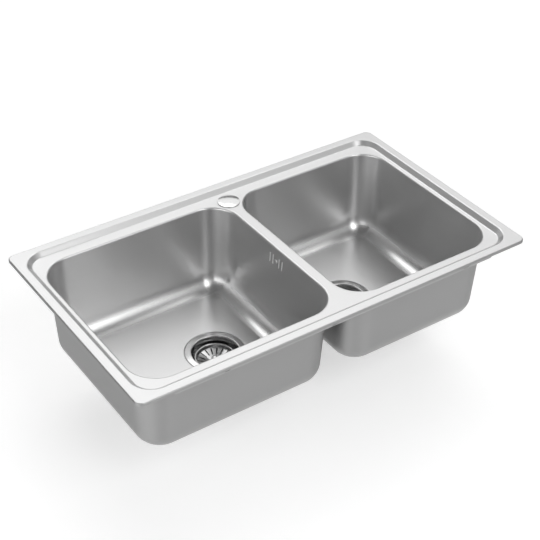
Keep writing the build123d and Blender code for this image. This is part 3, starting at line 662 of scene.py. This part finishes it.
def make_knob(side, bowl):
    """A knob: stud, waist and dome in one profile, spun about the waste's axis."""
    dome = crown(KNOB_RADIUS, SHOULDER_HEIGHT, KNOB_HEIGHT)
    corners = [
        (0, -KNOB_STUD), (STUD_RADIUS, -KNOB_STUD), (STUD_RADIUS, 0), (KNOB_RADIUS, 0),
        (KNOB_NECK, NECK_HEIGHT), (KNOB_RADIUS, SHOULDER_HEIGHT), dome[1],
    ]
    waist = rounded_profile(corners, KNOB_BENDS, SMALL_STEPS, TINY_GUARD)
    profile = np.concatenate([waist, dome[2:]]) + (0, bowl["floor"] + HUB_LEVEL)
    knob = build_mesh(f"{side}_strainer_knob", [ring_surface(spin(profile, bowl["waste"]))])
    finish_piece(knob, f"{side}_strainer", "chrome", f"{side}_basket_knob")


for side, bowl in bowls.items():
    make_basket(side, bowl)
    make_knob(side, bowl)

# %% [markdown]
# ## The tap-hole cap
# A chromed cap closes the hole where a tap could stand. It is a shallow dome with a short skirt and a stud
# for its nut below. A scaled half sphere would be too steep at its edge, so the cap is spun from the same
# kind of dome as the knobs.

# %% Cap
CAP_RADIUS, CAP_HEIGHT, CAP_EDGE, CAP_LIFT, CAP_WALL = 22.0, 4.6, 1.6, 0.3, 1.6
CAP_STUD_RADIUS, CAP_STUD = 3.0, 26.0
CAP_BENDS, CAP_STEPS = [0.3, 0.3, 0.3, 0.2, 0.2, 0.4], 5
cap_dome = crown(CAP_RADIUS, CAP_EDGE, CAP_HEIGHT)
cap_corners = [
    (0, CAP_EDGE - CAP_STUD), (CAP_STUD_RADIUS, CAP_EDGE - CAP_STUD), (CAP_STUD_RADIUS, CAP_EDGE),
    (CAP_RADIUS - CAP_WALL, CAP_EDGE), (CAP_RADIUS - CAP_WALL, CAP_LIFT), (CAP_RADIUS, CAP_LIFT),
    (CAP_RADIUS, CAP_EDGE), cap_dome[1],
]
skirt = rounded_profile(cap_corners, CAP_BENDS, CAP_STEPS, TINY_GUARD)
cap_profile = np.concatenate([skirt, cap_dome[2:]]) + (0, deck_top)
cap = build_mesh("tap_hole_cover", [ring_surface(spin(cap_profile, tap_hole))])
finish_piece(cap, "sink", "chrome", "tap_hole_cap")

# %% [markdown]
# ## Finishes
# Each slot of the record gets one procedural finish, named for the material and how it is worked. The
# sheet of the sink is ground along its length, so its grain follows the UV corners that were laid out in
# metres. Parts that keep their CAD mesh have no UVs, and their patterns use object coordinates, which are
# metres too. Metals keep the default index of refraction, since their colour comes from the base colour.

# %% Material starter
finishes = {}
# A noise texture seldom leaves this range
NOISE_LOW, NOISE_HIGH = 0.3, 0.7


def start_material(name):
    """A new material with a Principled shader: gives the material, its node tree and the shader node."""
    material = bpy.data.materials.new(name)
    material.use_nodes = True
    tree = material.node_tree
    return material, tree, tree.nodes["Principled BSDF"]


print("material slots:", sorted({node.data.materials[0].name for node in nodes.values()}))

# %% [markdown]
# ### Satin stainless steel: ground lines
# Belt grinding leaves fine lines along the sheet, which give the eye a soft, even sheen. Real lines are
# about 0.1 mm wide. They are drawn 1.5 mm wide here, since finer ones would vanish in a picture of this
# size. A scratched bump map would sparkle at this scale, so the lines vary only roughness and tint.

# %% Satin stainless steel: ground lines
LINE_LENGTH, LINE_WIDTH = 90.0, 1.5
SATIN_SMOOTH, SATIN_DULL = 0.34, 0.38
SATIN_DARK, SATIN_LIGHT = "#d4d4d4", "#d7d7d7"
satin, tree, shader = start_material("stainless steel, satin ground, outside in painted shade")
grain_uv = add_node(tree, "ShaderNodeUVMap", uv_map="grain")
stretch = add_node(
    tree, "ShaderNodeMapping", {"Scale": (1 / (LINE_LENGTH * MM), 1 / (LINE_WIDTH * MM), 1)},
    {"Vector": grain_uv.outputs["UV"]},
)
lines = add_node(
    tree, "ShaderNodeTexNoise", {"Scale": 1.0, "Detail": 3.0}, {"Vector": stretch.outputs["Vector"]}
)
line_rough = add_node(
    tree, "ShaderNodeMapRange",
    {"From Min": NOISE_LOW, "From Max": NOISE_HIGH, "To Min": SATIN_SMOOTH, "To Max": SATIN_DULL},
    {"Value": lines.outputs["Fac"]},
)
line_tint = add_node(
    tree, "ShaderNodeMix", {6: linear(SATIN_DARK), 7: linear(SATIN_LIGHT)}, {0: lines.outputs["Fac"]},
    data_type="RGBA",
)
print("ground lines:", LINE_WIDTH, "mm wide and", LINE_LENGTH, "mm long")

# %% [markdown]
# ### Satin stainless steel: outside and floor bend
# The outside of the bowls and the lip are never ground. They keep the dull, rougher skin of drawn sheet,
# and their tint is set darker than the steel's own: painted shade for the dim surroundings they mirror.
# The ground attribute mixes both in. Where the walls bend into the floor, the belt hardly reaches. The
# steel there mirrors more sharply, and long streaks of light show along the bend. A smoother roughness
# is mixed in by height over the floor and fades out softly, because a hard border would draw a line
# round the bowl.

# %% Satin stainless steel: outside and floor bend
# The outside's tint is darker than drawn steel really is: painted shade
DRAWN_SHADED_TINT, DRAWN_ROUGH, BEND_ROUGH = "#a5a5a5", 0.55, 0.27
BEND_FULL, BEND_FADE, BEND_END = 0.8, 12.0, 40.0
ground_unshaded_side = add_node(tree, "ShaderNodeAttribute", attribute_name=GROUND_UNSHADED)
both_tints = add_node(
    tree, "ShaderNodeMix", {6: linear(DRAWN_SHADED_TINT)},
    {0: ground_unshaded_side.outputs["Fac"], 7: line_tint.outputs[2]}, data_type="RGBA",
)
both_roughs = add_node(
    tree, "ShaderNodeMix", {2: DRAWN_ROUGH},
    {0: ground_unshaded_side.outputs["Fac"], 3: line_rough.outputs[0]}, data_type="FLOAT",
)
coords = add_node(tree, "ShaderNodeTexCoord")
spot = add_node(tree, "ShaderNodeSeparateXYZ", links={0: coords.outputs["Object"]})
heights = np.array([0, BEND_FULL, BEND_FADE, BEND_END])
floor_at, full_at, fade_at, end_at = (bowls["left"]["floor"] + heights) * MM
above_floor = add_node(
    tree, "ShaderNodeMapRange", {"From Min": floor_at, "From Max": full_at}, {"Value": spot.outputs["Z"]},
    interpolation_type="SMOOTHSTEP",
)
below_wall = add_node(
    tree, "ShaderNodeMapRange", {"From Min": fade_at, "From Max": end_at, "To Min": 1.0, "To Max": 0.0},
    {"Value": spot.outputs["Z"]}, interpolation_type="SMOOTHSTEP",
)
bend_share = add_node(
    tree, "ShaderNodeMath", links={0: above_floor.outputs[0], 1: below_wall.outputs[0]},
    operation="MULTIPLY",
)
all_roughs = add_node(
    tree, "ShaderNodeMix", {3: BEND_ROUGH}, {0: bend_share.outputs[0], 2: both_roughs.outputs[0]},
    data_type="FLOAT",
)
print("floor bend is smoothest up to", BEND_FADE, "mm over the floor")

# %% [markdown]
# ### Satin stainless steel: swell and sheen
# Pressed sheet is never perfectly flat, so its reflections swim a little. A broad, shallow bump does this
# without touching the shape. The sheen of ground steel is stretched across the lines. Anisotropic shading
# makes that stretch, with its direction taken from the UV corners.

# %% Satin stainless steel: swell and sheen
SWELL, SWELL_HEIGHT, SWELL_STRENGTH = 110.0, 0.6, 0.25
STRETCH, QUARTER_TURN = 0.7, 0.25
swell = add_node(
    tree, "ShaderNodeTexNoise", {"Scale": 1 / (SWELL * MM), "Detail": 1.0},
    {"Vector": coords.outputs["Object"]},
)
wave = add_node(
    tree, "ShaderNodeBump", {"Strength": SWELL_STRENGTH, "Distance": SWELL_HEIGHT * MM},
    {"Height": swell.outputs["Fac"]},
)
grain_way = add_node(tree, "ShaderNodeTangent", direction_type="UV_MAP", uv_map="grain")
shader.inputs["Metallic"].default_value = 1.0
shader.inputs["Anisotropic"].default_value = STRETCH
shader.inputs["Anisotropic Rotation"].default_value = QUARTER_TURN
tree.links.new(both_tints.outputs[2], shader.inputs["Base Color"])
tree.links.new(all_roughs.outputs[0], shader.inputs["Roughness"])
tree.links.new(wave.outputs["Normal"], shader.inputs["Normal"])
tree.links.new(grain_way.outputs["Tangent"], shader.inputs["Tangent"])
finishes["bowl_steel"] = satin
print("finish of the sheet:", satin.name, "with", len(tree.nodes), "nodes")

# %% [markdown]
# ### Strip, pressings, plating and screws
# The small metal parts differ in how they were worked: rolled, buffed, plated or tumbled. Each could have
# its own node tree, but they share one recipe. A mottle, which is drawn coarser than the real marks so
# that it shows, varies roughness and tint between two values.

# %% Other metals
# Slot: material and finish, darker and lighter tint, lowest and highest roughness, mottle in mm
METALS = {
    # Rolled strip is even and dull, and its grey is set darker than the steel's own as painted shade under
    # the lip
    "rail_steel": ("stainless steel strip, mill finish, painted shade", "#a6a6a6", "#b0b0b0", 0.42, 0.52, 4.0),
    # Buffed pressings mirror the room in clear light and dark bands
    "waste_steel": ("stainless steel, buffed pressing", "#b6b6b6", "#bebebe", 0.17, 0.21, 3.0),
    # Chrome plate gives the cap and the knobs bright, slightly soft highlights
    "chrome": ("chrome plate, bright", "#cacaca", "#d3d3d3", 0.16, 0.22, 6.0),
    # Tumbled screws are pale and matt
    "screw_steel": ("stainless screws, tumbled matt", "#d6d6d6", "#dedede", 0.46, 0.54, 1.5),
}
for slot, (name, dark, light, smooth, dull, mottle_size) in METALS.items():
    material, tree, shader = start_material(name)
    coords = add_node(tree, "ShaderNodeTexCoord")
    mottle = add_node(
        tree, "ShaderNodeTexNoise", {"Scale": 1 / (mottle_size * MM), "Detail": 2.0},
        {"Vector": coords.outputs["Object"]},
    )
    rough = add_node(
        tree, "ShaderNodeMapRange",
        {"From Min": NOISE_LOW, "From Max": NOISE_HIGH, "To Min": smooth, "To Max": dull},
        {"Value": mottle.outputs["Fac"]},
    )
    tint = add_node(
        tree, "ShaderNodeMix", {6: linear(dark), 7: linear(light)}, {0: mottle.outputs["Fac"]},
        data_type="RGBA",
    )
    shader.inputs["Metallic"].default_value = 1.0
    tree.links.new(tint.outputs[2], shader.inputs["Base Color"])
    tree.links.new(rough.outputs[0], shader.inputs["Roughness"])
    finishes[slot] = material
print("metals:", ", ".join(METALS))

# %% [markdown]
# ### Plastic, rubber, foam and pads
# The waste bodies and the overflow are moulded in white polypropylene. Seals are rubber, the rim seal is
# foam tape and the sound pads are bitumen sheet. A flat colour would look like paint, so all of them are
# a colour that varies a little, a pattern at the size of its grain and a matching bump.

# %% Soft and moulded materials
BUMP_STRENGTH = 0.4
# Slot: material and finish, darker and lighter tint, roughness, grain in mm, height of the grain in mm
MOULDED = {
    # Smooth moulded plastic is clean white with a soft gloss, and its grain hardly shows
    "white_plastic": ("polypropylene, white, smooth moulded", "#f4f4f3", "#f9f9f8", 0.25, 0.8, 0.02),
    # Bloom makes black rubber look dusty in patches
    "black_rubber": ("rubber, black, with bloom", "#1d1d1e", "#2b2b2c", 0.70, 2.0, 0.1),
    # Cut foam is matt and pitted, with cells drawn about twice their real size
    "foam": ("closed-cell foam tape, grey", "#6d6e70", "#848587", 0.92, 1.2, 0.3),
    # Bitumen sheet is dark and coarse, with grit drawn about twice its real size
    "sound_pad": ("bitumen sheet, dark grey", "#3a3a3b", "#4b4b4c", 0.85, 4.0, 0.4),
}
for slot, (name, dark, light, dull, grain_size, grain_height) in MOULDED.items():
    material, tree, shader = start_material(name)
    coords = add_node(tree, "ShaderNodeTexCoord")
    grain = add_node(
        tree, "ShaderNodeTexNoise", {"Scale": 1 / (grain_size * MM), "Detail": 3.0},
        {"Vector": coords.outputs["Object"]},
    )
    tint = add_node(
        tree, "ShaderNodeMix", {6: linear(dark), 7: linear(light)}, {0: grain.outputs["Fac"]},
        data_type="RGBA",
    )
    bump = add_node(
        tree, "ShaderNodeBump", {"Strength": BUMP_STRENGTH, "Distance": grain_height * MM},
        {"Height": grain.outputs["Fac"]},
    )
    shader.inputs["Roughness"].default_value = dull
    tree.links.new(tint.outputs[2], shader.inputs["Base Color"])
    tree.links.new(bump.outputs["Normal"], shader.inputs["Normal"])
    finishes[slot] = material
print("moulded:", ", ".join(MOULDED))

# %% [markdown]
# ### Finishes on every part
# A CAD part arrives with an empty material that has its slot's name. Materials could be assigned part by
# part, but the slot already says which finish belongs where, for CAD parts and new pieces alike.

# %% Finishes on every part
slots = {node: node.data.materials[0].name for node in nodes.values()} | new_pieces
for part, slot in slots.items():
    part.data.materials.clear()
    part.data.materials.append(finishes[slot])
print("finishes:", ", ".join(material.name for material in finishes.values()))

# %% [markdown]
# ## Camera
# The photograph was taken from the front left and well above the rim. A camera could be placed by eye,
# but a small error shows along the straight edges of a sink. So its place, its tilt and its focal length
# come from fitting the rim's edges. The camera was held not quite level.

# %% Camera
AZIMUTH, ELEVATION, ROLL = np.radians([35.05, 36.316, 0.93])
LENS, SENSOR = 85.65, 36.0
CAMERA_PLACE = (-1.10500, -1.57706, 1.37109)
camera = bpy.data.objects.new("camera", bpy.data.cameras.new("camera"))
camera.data.lens = LENS
camera.data.sensor_width = SENSOR
forward = Vector(
    (np.sin(AZIMUTH) * np.cos(ELEVATION), np.cos(AZIMUTH) * np.cos(ELEVATION), -np.sin(ELEVATION))
)
level_right = forward.cross(Vector((0, 0, 1))).normalized()
level_up = level_right.cross(forward)
right = level_right * np.cos(ROLL) + level_up * np.sin(ROLL)
turn = Matrix((right, right.cross(forward), -forward)).transposed()
camera.matrix_world = Matrix.Translation(CAMERA_PLACE) @ turn.to_4x4()
bpy.context.scene.collection.objects.link(camera)
bpy.context.scene.camera = camera
print("camera looks along", [round(value, 3) for value in forward])

# %% [markdown]
# ## Floor
# The sink stands on its outlets on white studio paper. The paper is lit by the lamps like any other thing
# and keeps the sink's shadow. Stronger lamps would make it white, but would burn out the steel. Instead
# what the camera, a mirror or glass sees of it gets a little glow on top.

# %% Floor
# Half the side of the paper, in metres
FLOOR_HALF = 8.0
PAPER, PAPER_ROUGH, PAPER_GLOW = "#ececec", 0.9, 0.42
floor_mesh = bpy.data.meshes.new("floor")
floor_corners = np.array([[-1, -1], [1, -1], [1, 1], [-1, 1]]) * FLOOR_HALF
floor_mesh.from_pydata(np.column_stack([floor_corners, np.full(4, cad_low.z)]), [], [[0, 1, 2, 3]])
floor = bpy.data.objects.new("floor", floor_mesh)
bpy.context.scene.collection.objects.link(floor)
paper, tree, shader = start_material("studio paper, white matt")
light_path = add_node(tree, "ShaderNodeLightPath")
mirrored = add_node(
    tree, "ShaderNodeMath",
    links={0: light_path.outputs["Is Glossy Ray"], 1: light_path.outputs["Is Transmission Ray"]},
    operation="MAXIMUM",
)
seen = add_node(
    tree, "ShaderNodeMath", links={0: light_path.outputs["Is Camera Ray"], 1: mirrored.outputs[0]},
    operation="MAXIMUM",
)
glow = add_node(tree, "ShaderNodeMath", {1: PAPER_GLOW}, {0: seen.outputs[0]}, operation="MULTIPLY")
shader.inputs["Base Color"].default_value = linear(PAPER)
shader.inputs["Roughness"].default_value = PAPER_ROUGH
shader.inputs["Emission Color"].default_value = linear("#ffffff")
tree.links.new(glow.outputs[0], shader.inputs["Emission Strength"])
floor_mesh.materials.append(paper)
floor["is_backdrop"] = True
print("floor level in mm:", round(cad_low.z / MM, 1))

# %% [markdown]
# ## Softboxes
# Bright sheet shows its surroundings more than its own colour, so the lamps are placed by what mirrors
# them. A large softbox at the back right makes the rim, the deck and the bowl floors shine, and a higher
# one beside it reaches deeper into the bowls. A narrow one straight behind draws the streaks on the floor
# bends, and a narrow one in front the streaks in the corners. A low one on the left reaches the white
# overflow behind its slots. The others only fill the shadows. Each is a rectangle four metres away that
# faces the sink. A lamp's power spreads over its area and half the sky, so its brightness times pi times
# the area gives the watts.

# %% Softboxes
LAMP_DISTANCE = 4.0
# Azimuth from the back towards the right and elevation in degrees, width and height in metres, and
# brightness
SOFTBOXES = {
    "back right": (35, 42, 5.0, 3.0, 1.15),
    "straight back": (2, 50, 1.2, 1.8, 1.45),
    "high back right": (50, 62, 2.6, 1.6, 1.0),
    "right": (95, 58, 1.8, 1.4, 0.75),
    "front": (168, 30, 5.0, 4.0, 0.7),
    "front strip": (172, 40, 1.7, 3.0, 2.0),
    "left": (252, 17, 4.6, 1.8, 2.9),
    "front left": (235, 30, 4.0, 2.0, 0.3),
}
for name, (azimuth, elevation, wide, high, brightness) in SOFTBOXES.items():
    around, above = np.radians([azimuth, elevation])
    away = Vector((np.sin(around) * np.cos(above), np.cos(around) * np.cos(above), np.sin(above)))
    lamp = bpy.data.lights.new(f"{name} softbox", "AREA")
    lamp.shape = "RECTANGLE"
    lamp.size = wide
    lamp.size_y = high
    lamp.energy = brightness * np.pi * wide * high
    softbox = bpy.data.objects.new(lamp.name, lamp)
    softbox.location = away * LAMP_DISTANCE
    softbox.rotation_euler = (-away).to_track_quat("-Z", "Y").to_euler()
    softbox.visible_camera = False
    bpy.context.scene.collection.objects.link(softbox)
print("softboxes:", ", ".join(SOFTBOXES))

# %% [markdown]
# ## World
# The white walls of a studio send back a little light from everywhere, which keeps the darkest walls from
# turning black. They could be modelled as planes. A plain white world of low strength does the same. The
# Standard view shows colours as they are written.

# %% World
ROOM_LIGHT = 0.16
world = bpy.data.worlds.new("white studio")
world.use_nodes = True
background = world.node_tree.nodes["Background"]
background.inputs["Color"].default_value = linear("#ffffff")
background.inputs["Strength"].default_value = ROOM_LIGHT
bpy.context.scene.world = world
bpy.context.scene.view_settings.view_transform = "Standard"
print("room light:", ROOM_LIGHT)

# %% [markdown]
# The dressed part has to fill the same box as the CAD part. A glance at the picture can't tell a tenth of
# a millimetre, so the largest difference between the two boxes is printed.

# %% Sizes and finish
new_low, new_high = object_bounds()
changes = [*(new_low - cad_low), *(new_high - cad_high)]
print("largest change in mm:", round(max(map(abs, changes)) / MM, 3))
